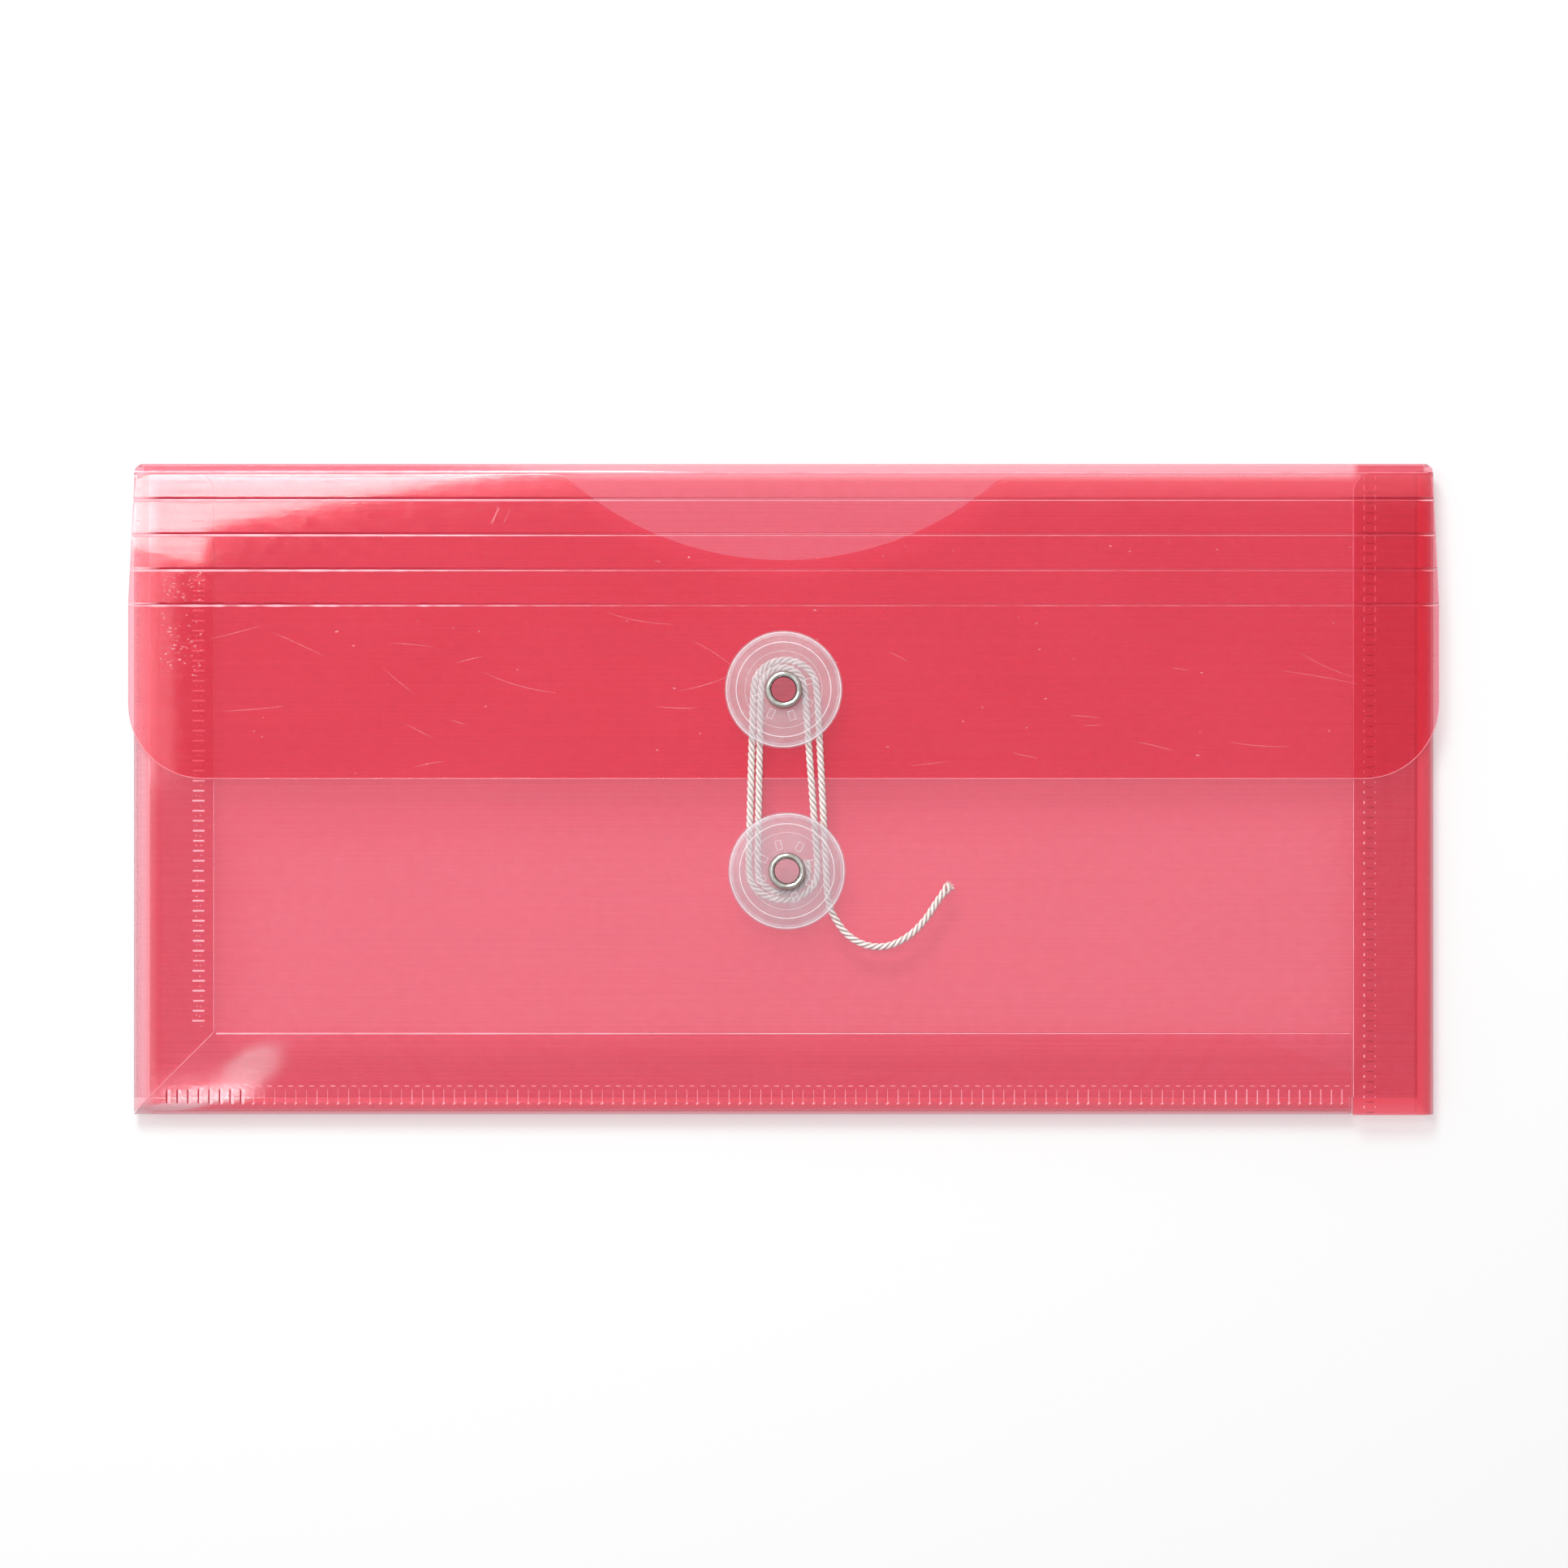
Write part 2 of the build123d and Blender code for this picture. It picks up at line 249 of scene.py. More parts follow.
redSheetSet = {  # the back and the tabs, with folds, dense rows and patches in mm
    "clearTint": (1.0, 0.845, 0.89), "lampTint": (0.79, 0.665, 0.69),  # per face, and a sheet has two
    "hazeShare": 0.085, "deepColour": (0.97, 0.02, 0.06), "hazyColour": (1.0, 0.035, 0.08),
    "folds": (("X", -121.5, -125.0, 1.0), ("X", 123.5, 126.8, 0.2),
              ("Y", 57.5, 62.6, 0.6), ("Y", -60.5, -63.2, 0.2)), "foldEnds": (),
    "dense": (("X", -123.57, -125.4, 0.3, 0.0), ("X", 123.57, 126.9, 0.4, 0.28),
              ("Y", -60.07, -63.2, 0.36, 0.26)), "denseRise": (2.5, 3.5), "startShare": 0.04,
    # a hazier round spot, then painted highlights at the welds and on the bottom-left fold
    "hazeSpotsAndHighlights": (((-104.0, -54.6), (12, 6.4), 32.0, 0.16, (1.0, 0.78, 0.80)),
                ((-112.0, -59.5), (14, 2.7), 2.0, 0.18, (1.0, 0.78, 0.80)),
                ((-118.5, -61.8), (10, 1.5), 4.0, 0.34, (1.0, 0.6, 0.66))),
    "patchShare": 0.6, "foldSheenShare": 0.28, "foldSheenColour": (1.0, 0.55, 0.61),
    "rimSlopes": (0.10, 0.46), "paintedRimShare": 0.5, "paintedRimColour": (0.36, 0.045, 0.08),
    "cloudScale": 38, "mottleScale": 420, "mottleShare": 0.12,
    "drawnStretch": (14, 2200, 400), "drawnShare": 0.14,
    "roughness": (0.045, 0.085), "ior": 2.3, "bumpDistance": 0.02 * mm, "bumpStrength": 0.03,
}
redSheet = plastic("redSheet", redSheetSet)

redTabSet = dict(redSheetSet, clearTint=(0.955, 0.70, 0.75), hazeSpotsAndHighlights=())  # the right tab gets a deeper tint: painted shade on the side away from the light
redTab = plastic("redTab", redTabSet)

redFrontSet = dict(redSheetSet, clearTint=(1.0, 0.735, 0.785), hazeShare=0.105, dense=(), hazeSpotsAndHighlights=())
redFront = plastic("redFront", redFrontSet)

redFlapSet = dict(  # painted sheen and whitening along its top fold only
    redFrontSet, folds=(("Y", 57.0, 60.5, 0.13), ("Y", 59.6, 62.4, 1.4), ("X", -121.0, -127.4, 0.22)),
    foldEnds=(((-75.0, -35.0), (0.2, 1.0)), ((110.6, 112.4), (1.0, 0.1))),
    roughness=(0.025, 0.05), bumpStrength=0.015,
)
redFlap = plastic("redFlap", redFlapSet)

# pale edge colour: painted highlight along the cut edges
redEdgeHighlightSet = dict(
    redFrontSet, clearTint=(1.0, 0.86, 0.89), lampTint=(0.95, 0.8, 0.82), hazeShare=0.42,
    deepColour=(0.98, 0.42, 0.50), hazyColour=(1.0, 0.52, 0.58), foldSheenShare=0.1, paintedRimShare=0.0, ior=1.5,
)
redEdgeHighlight = plastic("redEdgeHighlight", redEdgeHighlightSet)

# pale ridge colour: painted highlight
redRidgeHighlightSet = dict(
    redEdgeHighlightSet, hazeShare=0.8, deepColour=(1.0, 0.52, 0.6), hazyColour=(1.0, 0.62, 0.69),
    mottleScale=160, mottleShare=0.25, ior=1.2, roughness=(0.3, 0.4),
)
redRidgeHighlight = plastic("redRidgeHighlight", redRidgeHighlightSet)

# pale seam colour: painted highlight of the top fold
redSeamHighlightSet = dict(redRidgeHighlightSet, hazeShare=0.5, deepColour=(1.0, 0.42, 0.5), hazyColour=(1.0, 0.48, 0.56))
redSeamHighlight = plastic("redSeamHighlight", redSeamHighlightSet)

# dark groove colour: painted shade
weldGrooveShadeSet = dict(
    redFrontSet, hazeShare=0.4, deepColour=(0.36, 0.015, 0.035), hazyColour=(0.46, 0.02, 0.05), foldSheenShare=0.0,
)
weldGrooveShade = plastic("weldGrooveShade", weldGrooveShadeSet)

# dark score colour: painted shade
redScoreShadeSet = dict(weldGrooveShadeSet, hazeShare=0.8, ior=1.25, roughness=(0.5, 0.6))
redScoreShade = plastic("redScoreShade", redScoreShadeSet)

weldPadSet = dict(
    redEdgeHighlightSet, hazeShare=0.68, deepColour=(1.0, 0.48, 0.55), hazyColour=(1.0, 0.58, 0.64),
)
weldPad = plastic("weldPad", weldPadSet)

scratchSet = dict(redEdgeHighlightSet, hazeShare=0.28, deepColour=(1.0, 0.6, 0.66), hazyColour=(1.0, 0.7, 0.75))
scratchedSheet = plastic("scratchedSheet", scratchSet)

frostedSet = {
    "clearTint": (0.985, 0.975, 0.985), "lampTint": (0.90, 0.89, 0.90),
    "hazeShare": 0.25, "deepColour": (0.59, 0.54, 0.57), "hazyColour": (0.67, 0.62, 0.65),
    # painted sheen: the buttons are paler higher up, by height
    "folds": (("Z", 5.0, 13.0, 0.1),), "foldSheenShare": 0.1, "foldSheenColour": (0.84, 0.82, 0.84),
    "dense": (), "hazeSpotsAndHighlights": (),
    "rimSlopes": (0.0, 0.3), "paintedRimShare": 0.2, "paintedRimColour": (0.80, 0.78, 0.80),
    "cloudScale": 160, "mottleScale": 900, "mottleShare": 0.14,
    "drawnStretch": (300, 300, 300), "drawnShare": 0.05,
    "roughness": (0.28, 0.4), "ior": 1.5, "bumpDistance": 0.02 * mm, "bumpStrength": 0.2,
}
frostedButton = plastic("frostedButton", frostedSet)

mouldedRimSet = dict(frostedSet, hazeShare=0.16, deepColour=(0.84, 0.82, 0.84), hazyColour=(0.9, 0.88, 0.9))
mouldedRim = plastic("mouldedRim", mouldedRimSet)

# whiter lines on the moulded steps and pockets: painted highlight
mouldedLineHighlightSet = dict(frostedSet, hazeShare=0.5, deepColour=(0.92, 0.9, 0.92), hazyColour=(0.97, 0.95, 0.97))
mouldedLineHighlight = plastic("mouldedLineHighlight", mouldedLineHighlightSet)

clearWasherSet = dict(
    frostedSet, hazeShare=0.035, foldSheenShare=0.3, clearTint=(0.99, 0.985, 0.99), lampTint=(0.95, 0.94, 0.95),
    roughness=(0.15, 0.22),
)
clearWasher = plastic("clearWasher", clearWasherSet)
print("plastics made")


# nickel plate on the eyelets

nickelSet = {
    "steepShade": (0.13, 0.11, 0.07), "dull": (0.74, 0.70, 0.60), "bright": (0.95, 0.93, 0.90),
    "steepSlopes": (0.30, 0.80), "roughness": (0.08, 0.16),
    "spotScale": 700, "spotDetail": 3.0, "spotRough": 0.6,
    "brushScale": 2200, "brushDetail": 2.0, "brushStretch": (1, 1, 6),
    "bumpDistance": 0.01 * mm, "bumpStrength": 0.25,
}


def nickelPlate(s):
    material, tree = newMaterial("nickelPlate")
    plain = stretched(tree, (1, 1, 1))
    spots = noise(tree, plain, s["spotScale"], s["spotDetail"], s["spotRough"])
    brush = noise(tree, stretched(tree, s["brushStretch"]), s["brushScale"], s["brushDetail"])
    metal = addNode(tree, "BsdfPrincipled", {"Metallic": 1.0})
    levelFacing = ranged(tree, levelness(tree), *s["steepSlopes"])
    plate = blended(tree, ranged(tree, spots, *coreShares), s["dull"], s["bright"])
    wire(tree, blended(tree, levelFacing, s["steepShade"], plate), metal.inputs["Base Color"])  # painted shade and reflection: the steep slopes of the roll are coloured dark
    wire(tree, ranged(tree, spots, *noiseShares, *s["roughness"]), metal.inputs["Roughness"])
    wire(tree, bumped(tree, brush, s["bumpDistance"], s["bumpStrength"]), metal.inputs["Normal"])
    showShader(tree, metal)
    return material


nickel = nickelPlate(nickelSet)


# cotton of the string

cottonSet = {
    "shade": (0.86, 0.75, 0.71), "light": (1.0, 0.955, 0.925),
    "fibreScale": 5200, "fibreDetail": 3.0, "fibreRough": 0.65, "fibreShare": 0.6,
    "patchScale": 420, "patchDetail": 2.0, "patchShare": 0.4, "toneShares": (0.32, 0.62),
    "roughness": (0.8, 0.98), "sheenShare": 0.25, "sheenRough": 0.5,
    "bumpDistance": 0.06 * mm, "bumpStrength": 0.6,
}


def cottonTwist(name, s):
    material, tree = newMaterial(name)
    plain = stretched(tree, (1, 1, 1))
    fibre = noise(tree, plain, s["fibreScale"], s["fibreDetail"], s["fibreRough"])
    patch = noise(tree, plain, s["patchScale"], s["patchDetail"])
    fine = maths(tree, "MULTIPLY", fibre, s["fibreShare"])
    coarse = maths(tree, "MULTIPLY", patch, s["patchShare"])
    tone = ranged(tree, maths(tree, "ADD", fine, coarse), *s["toneShares"])
    sheen = {"Sheen Weight": s["sheenShare"], "Sheen Roughness": s["sheenRough"]}
    cotton = addNode(tree, "BsdfPrincipled", sheen)
    wire(tree, blended(tree, tone, s["shade"], s["light"]), cotton.inputs["Base Color"])
    wire(tree, ranged(tree, fibre, *noiseShares, *s["roughness"]), cotton.inputs["Roughness"])
    wire(tree, bumped(tree, fibre, s["bumpDistance"], s["bumpStrength"]), cotton.inputs["Normal"])
    showShader(tree, cotton)
    return material


cotton = cottonTwist("cottonTwist", cottonSet)

cottonGrooveShadeSet = dict(cottonSet, shade=(0.60, 0.44, 0.41), light=(0.77, 0.61, 0.58))
cottonGrooveShade = cottonTwist("cottonGrooveShade", cottonGrooveShadeSet)  # painted shade on the ply faces turned into the grooves between the plies
print("metal and cotton made")

finishes = {
    "red_sheet": redSheet, "button_plastic": frostedButton, "washer_plastic": clearWasher,
    "eyelet_metal": nickel, "string_cotton": cotton,
}
for row in frame["record"]["subparts"]:
    node = nodes[row["node"]]
    node.data.materials.clear()
    node.data.materials.append(finishes[row["material_slot"]])
    if row["node"].startswith("flap"):
        node.data.materials[0] = redFlap
    elif row["node"] == "front_panel":
        node.data.materials[0] = redFront
    elif row["node"] == "right_side_tab":
        node.data.materials[0] = redTab


# mesh helpers: a shape is a list of corners and a list of faces

sharpAngle = 55  # degrees


def makePiece(name, shape, material, body, smooth=False):
    mesh = bpy.data.meshes.new(name)
    mesh.from_pydata(shape[0], [], shape[1])
    mesh.materials.append(material)
    tidy = bmesh.new()
    tidy.from_mesh(mesh)
    bmesh.ops.recalc_face_normals(tidy, faces=tidy.faces)
    tidy.to_mesh(mesh)
    tidy.free()
    for face in mesh.polygons:
        face.use_smooth = smooth
    if smooth:
        mesh.set_sharp_from_angle(angle=math.radians(sharpAngle))
    piece = bpy.data.objects.new(name, mesh)
    scene.collection.objects.link(piece)
    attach(piece, body)
    return piece


def addLoaf(shape, centre, along, length, width, low, height, topShare):
    verts, faces = shape
    first = len(verts)
    ahead = Vector((*along, 0)).normalized()
    side = Vector((-ahead.y, ahead.x, 0))
    for share, z in ((1.0, low), (topShare, low + height)):
        inset = width * (1 - share) / 2
        for a, b in ((-1, -1), (1, -1), (1, 1), (-1, 1)):
            reach = ahead * a * (length / 2 - inset) + side * b * (width / 2 - inset)
            verts.append((centre[0] + reach.x, centre[1] + reach.y, z))
    for face in ((3, 2, 1, 0), (4, 5, 6, 7), (0, 1, 5, 4), (1, 2, 6, 5), (2, 3, 7, 6), (3, 0, 4, 7)):
        faces.append([first + i for i in face])


def addTubeFaces(faces, first, rings, wide):
    for i in range(rings - 1):
        for k in range(wide):
            a = first + i * wide + k
            b = first + i * wide + (k + 1) % wide
            faces.append([a, b, b + wide, a + wide])
    faces.append([first + k for k in reversed(range(wide))])
    faces.append([first + (rings - 1) * wide + k for k in range(wide)])


beadProfile = ((-1, 0), (-0.72, 0.66), (0, 1), (0.72, 0.66), (1, 0))
leastLeanShare = 0.5  # a bead widens at a corner, to twice its width at most


def addBead(shape, points, low, halfWidth, height, sizeShares=None):
    verts, faces = shape
    first = len(verts)
    count = len(points)
    flat = [Vector((x, y)) for x, y in points]
    for i, point in enumerate(flat):
        before = (point - flat[i - 1]).normalized() if i else None
        after = (flat[i + 1] - point).normalized() if i + 1 < count else None
        ahead = ((before or after) + (after or before)).normalized()
        side = Vector((-ahead.y, ahead.x))
        lean = max(leastLeanShare, side.dot(Vector((-(after or before).y, (after or before).x))))
        size = sizeShares[i] if sizeShares else 1.0
        for across, up in beadProfile:
            place = point + side * across * halfWidth * size / lean
            verts.append((place.x, place.y, low + up * height * size))
    addTubeFaces(faces, first, count, len(beadProfile))


def arcPoints(centre, radius, start, end, steps):
    for i in range(steps + 1):
        angle = math.radians(start + (end - start) * i / steps)
        yield (centre[0] + radius * math.cos(angle), centre[1] + radius * math.sin(angle))


# the string: one cord, wound twice round both buttons, with a loose tail

stringSet = {
    "plies": 3, "plyRadius": 0.31 * mm, "plyOffset": 0.39 * mm, "lead": 4.05 * mm,
    "ringStep": 0.2 * mm, "sides": 12, "grooveAngle": 60, "flareRun": 2.6 * mm, "flareShare": 1.0,
    "curveSteps": 24,  # the rest is the route, in mm
    "lowLevel": 7.4, "highLevel": 8.7, "lowRow": -15.9, "highRow": 19.4,
    "anchorLead": 1.3, "exitRun": 2.6, "firstRun": 3.6, "straightRun": 7.8, "pointsPerTurn": 8,
    "turns": (
        {"centre": (-0.10, -15.9), "half": (4.95, 4.2), "from": 10.0, "to": -180.9},
        {"centre": (-0.20, 19.4), "half": (4.28, 4.3), "from": 179.1, "to": 4.2},
        {"centre": (-0.07, -15.9), "half": (6.75, 5.65), "from": 4.2, "to": -181.5},
        {"centre": (0.30, 19.4), "half": (6.2, 5.75), "from": 178.5, "to": 2.9},
    ),
    "exit": (8.3, -15.9),
    "tail": (
        (9.9, -25.1, 6.85), (12.4, -28.6, 6.7), (16.3, -30.7, 6.7), (20.6, -30.7, 6.7),
        (24.8, -28.5, 6.7), (28.0, -25.0, 6.7), (30.3, -21.2, 6.7), (32.4, -18.7, 6.7),
    ),
}


def stringRoute(s):
    rise = (s["highLevel"] - s["lowLevel"]) / (s["highRow"] - s["lowRow"])

    def onPlane(x, y):
        return Vector((x, y, s["lowLevel"] + (y - s["lowRow"]) * rise))

    def rim(turn, angle, reach=1.0):
        a = math.radians(angle)
        return onPlane(turn["centre"][0] + turn["half"][0] * reach * math.cos(a),
                       turn["centre"][1] + turn["half"][1] * reach * math.sin(a))

    first, lead = s["turns"][0], s["anchorLead"]
    anchor, lean = rim(first, first["from"]), math.radians(first["from"])
    points = [onPlane(anchor.x - math.sin(lean) * lead, anchor.y + math.cos(lean) * lead)]
    for number, turn in enumerate(s["turns"]):
        step = (turn["to"] - turn["from"]) / s["pointsPerTurn"]
        for k in range(s["pointsPerTurn"]):
            points.append(rim(turn, turn["from"] + step * (k + 0.5), 1 / math.cos(math.radians(step / 2))))
        leaves = rim(turn, turn["to"])
        last = number + 1 == len(s["turns"])
        arrives = onPlane(*s["exit"]) if last else rim(s["turns"][number + 1], s["turns"][number + 1]["from"])
        ahead = (arrives - leaves).normalized()
        points.append(leaves + ahead * s["straightRun"])
        if last:
            points.append(arrives + ahead * s["exitRun"])
            points.append(arrives + ahead * (s["exitRun"] + s["firstRun"]))
        else:
            points.append(arrives - ahead * s["straightRun"])
    points += [Vector(p) for p in s["tail"]]
    return [p * mm for p in points]


def splineLine(name, points, steps, order=3):
    curve = bpy.data.curves.new(name, "CURVE")
    curve.dimensions = "3D"
    curve.resolution_u = steps
    spline = curve.splines.new("NURBS")
    spline.points.add(len(points) - 1)
    for p, place in zip(spline.points, points):
        p.co = (*place, 1)
    spline.order_u = order
    spline.use_endpoint_u = True
    holder = bpy.data.objects.new(name, curve)
    scene.collection.objects.link(holder)
    bpy.context.view_layer.update()
    mesh = bpy.data.meshes.new_from_object(holder.evaluated_get(bpy.context.evaluated_depsgraph_get()))
    line = [v.co.copy() for v in mesh.vertices]
    bpy.data.objects.remove(holder)
    bpy.data.meshes.remove(mesh)
    return line


def evenPoints(line, step):
    lengths = [0.0]
    for a, b in zip(line, line[1:]):
        lengths.append(lengths[-1] + (b - a).length)
    count = int(lengths[-1] / step)
    places, k = [], 0
    for i in range(count + 1):
        wanted = lengths[-1] * i / count
        while k + 2 < len(line) and lengths[k + 1] < wanted:
            k += 1
        span = lengths[k + 1] - lengths[k]
        places.append(line[k].lerp(line[k + 1], (wanted - lengths[k]) / span))
    return places, lengths[-1]


def makeString(s):
    line = splineLine("stringLine", stringRoute(s), s["curveSteps"])
    places, length = evenPoints(line, s["ringStep"])
    verts, faces = [], []
    rings = len(places)
    side = Vector((0, 0, 1))
    frames = []
    for i, place in enumerate(places):
        ahead = (places[min(i + 1, rings - 1)] - places[max(i - 1, 0)]).normalized()
        side = (side - ahead * side.dot(ahead)).normalized()
        frames.append((place, ahead, side, ahead.cross(side)))
    lean = math.atan2(2 * math.pi * s["plyOffset"], s["lead"])
    n = s["sides"]
    for ply in range(s["plies"]):
        first = len(verts)
        for i, (place, ahead, up, over) in enumerate(frames):
            run = i * length / (rings - 1)
            twist = -2 * math.pi * (run / s["lead"] + ply / s["plies"])
            out = up * math.cos(twist) + over * math.sin(twist)
            across = over * math.cos(twist) - up * math.sin(twist)
            side = across * math.cos(lean) + ahead * math.sin(lean)
            opened = max(0.0, 1 - (length - run) / s["flareRun"])  # the plies spread at the cut end
            flare = over * math.sin(twist) * s["plyOffset"] * s["flareShare"] * opened
            middle = place + out * s["plyOffset"] + flare
            for k in range(n):
                a = 2 * math.pi * k / n
                verts.append(middle + (out * math.cos(a) + side * math.sin(a)) * s["plyRadius"])
        addTubeFaces(faces, first, rings, n)
    piece = makePiece("cottonString", (verts, faces), cotton, "pocket", smooth=True)
    piece.data.materials.append(cottonGrooveShade)
    sideFaces = (rings - 1) * n
    # faces turned into the grooves take the painted shade
    for face in piece.data.polygons:
        number = face.index % (sideFaces + 2)  # each ply has two end faces as well
        angle = (number % n + 0.5) * 360 / n
        if number < sideFaces and min(angle, 360 - angle) > s["grooveAngle"]:
            face.material_index = 1
    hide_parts("string_winding", "string_tail")
    return piece, places, length


cottonString, stringLine, stringLength = makeString(stringSet)
print("string made", round(stringLength / mm, 1), "mm")


# the frayed tip of the string

fraySet = {
    "count": 44, "length": (0.4 * mm, 1.1 * mm), "radius": 0.05 * mm, "wide": 0.85 * mm, "tall": 0.4 * mm,
    "rootBack": 0.3 * mm, "aheadPoints": 6, "sides": 3, "seed": 7, "spreadShare": 0.6, "overShares": (0.2, 1),
    "upShares": (0.1, 0.5), "bendShares": (-0.25, 0.25), "ringShares": (0.0, 0.5, 1.0), "taperShare": 0.6,
}


def makeFray(s, line):
    draw = random.Random(s["seed"])
    tip = line[-1]
    ahead = (tip - line[-s["aheadPoints"]]).normalized()
    up = Vector((0, 0, 1))
    over = ahead.cross(up).normalized()
    verts, faces = [], []
    for _ in range(s["count"]):
        angle = draw.uniform(0, 2 * math.pi)
        off = math.sqrt(draw.random())
        aside = up * math.sin(angle) * s["tall"] + over * math.cos(angle) * s["wide"]
        root = tip - ahead * s["rootBack"] + aside * off
        lean = over * math.cos(angle) * draw.uniform(*s["overShares"])
        lean += up * math.sin(angle) * draw.uniform(*s["upShares"])
        way = (ahead + lean * s["spreadShare"]).normalized()
        length = draw.uniform(*s["length"])
        bend = over * draw.uniform(*s["bendShares"])
        first = len(verts)
        for share in s["ringShares"]:
            middle = root + way * length * share + bend * length * share * share
            radius = s["radius"] * (1 - s["taperShare"] * share)
            for k in range(s["sides"]):
                a = 2 * math.pi * k / s["sides"]
                verts.append(middle + (up * math.cos(a) + over * math.sin(a)) * radius)
        addTubeFaces(faces, first, len(s["ringShares"]), s["sides"])
    return makePiece("stringFray", (verts, faces), cotton, "pocket", smooth=True)


stringFray = makeFray(fraySet, stringLine)
print("string end frayed")


# raised ridges in a painted highlight colour and dark score lines in a painted shade colour at the flap's
# creases, strongest at the left where the light catches them

creaseSet = {  # lengths in mm
    "centres": (56.65, 49.8, 42.95, 36.1), "halfWidths": (126.72, 127.05, 127.38, 127.7),
    "face": 7.3, "endInset": 0.15, "steps": 160, "seed": 5,
    "ridge": {"offset": -0.36, "half": 0.25, "height": 0.09, "sizeShares": (
        (-1.0, 1.0), (-0.55, 0.7), (-0.25, 0.26), (0.0, 0.16), (0.5, 0.15), (0.86, 0.13), (0.89, 0.04),
        (0.982, 0.04), (0.988, 0.4), (1.0, 0.4))},
    "score": {"offset": 0.14, "half": 0.2, "height": 0.03, "sizeShares": (
        (-1.0, 1.0), (-0.55, 0.75), (-0.25, 0.2), (0.0, 0.1), (0.86, 0.1), (0.9, 0.5), (1.0, 0.6))},
    "strengthShares": (1.5, 1.05, 0.8, 0.7), "leftEndShare": -0.5,
    "breakShares": (0.1, 0.2, 0.35, 0.7), "regainShare": 0.3,  # the last one is worn and broken
}
stripBodies = ("flap_strip_1", "flap_strip_2", "flap_strip_3", "flap_strip_4", "flap")


def taperedSize(taper, place):
    for (start, first), (end, second) in zip(taper, taper[1:]):
        if place <= end:
            return first + (second - first) * (place - start) / (end - start)
    return taper[-1][1]


def makeCreases(s):
    draw = random.Random(s["seed"])
    places = [-1 + 2 * i / s["steps"] for i in range(s["steps"] + 1)]
    for number, (y, half) in enumerate(zip(s["centres"], s["halfWidths"])):
        half = (half - s["endInset"]) * mm
        wear = []
        for place in places:
            broken = s["breakShares"][number]
            worn = draw.uniform(1 - broken, 1 + broken * s["regainShare"])
            strength = s["strengthShares"][number] if place > s["leftEndShare"] else 1.0
            wear.append(worn * strength)
        for kind, material, body in (("ridge", redRidgeHighlight, number + 1), ("score", redScoreShade, number)):
            bead = s[kind]
            shape = ([], [])
            sizeShares = [taperedSize(bead["sizeShares"], place) * worn for place, worn in zip(places, wear)]
            row = (y + bead["offset"]) * mm
            addBead(shape, [(half * place, row) for place in places], s["face"] * mm,
                    bead["half"] * mm, bead["height"] * mm, sizeShares)
            makePiece(f"crease{kind.title()}{number + 1}", shape, material, stripBodies[body], smooth=True)


makeCreases(creaseSet)
print("creases made")


# cut edges of the sheets: pale beads that paint a highlight along each cut edge

edgeSet = {  # lengths in mm
    "halfWidth": 0.09, "height": 0.04, "flapFace": 7.3, "frontFace": 6.0, "tabFace": 6.5,
    "flap": {"half": 127.7, "foot": 2.0, "corner": 14.6, "top": 35.3, "middles": (60, 0, -60), "steps": 14},
    "strips": {"tops": (62.4, 55.8, 48.95, 42.1), "feet": (56.95, 50.1, 43.25, 36.4), "firstTop": 60.9,
               "half": 126.4, "widens": 1.3, "from": 62.5, "run": 26.4},
    "thumbCut": {"high": 61.0, "half": 42.5, "depth": 16.3, "arcInset": 5.2, "steps": 30,
                 "straight": (110.6, 48.5), "shoulders": ((44.5, 0.5), (41.0, 1.9))},
    "tabs": {"inner": 111.0, "foot": -47.2, "top": 57.8, "cornerRow": 57.9, "corner": 4, "outer": 123.4,
             "high": 61.9, "steps": 8, "mitre": ((-111.2, -47.45), (-126.2, -62.4)),
             "rightRows": (-60, 2, 20, 45, 57.8), "rightShares": (0.6, 0.6, 1.0) + (1.7,) * 12},
    "bottomLip": {"row": -47.5, "insetShare": 1.7, "stops": (-110.6, -70, -20, 30, 110.5),
                  "sizeShares": (1.7, 1.7, 1.3, 0.8, 0.4)},
    "topFold": {"row": 61.62, "face": 7.235, "stops": (-125.6, -60, 0, 60, 110.4, 111.6, 125.6),
                "sizeShares": (2.6,) * 5 + (1.0,) * 2},
}


def edgePiece(name, lines, level, body, s, sizeShares=None, material=redEdgeHighlight):
    shape = ([], [])
    for line in lines:
        addBead(shape, [(x * mm, y * mm) for x, y in line], level * mm, s["halfWidth"] * mm,
                s["height"] * mm, sizeShares)
    makePiece(name, shape, material, body, smooth=True)


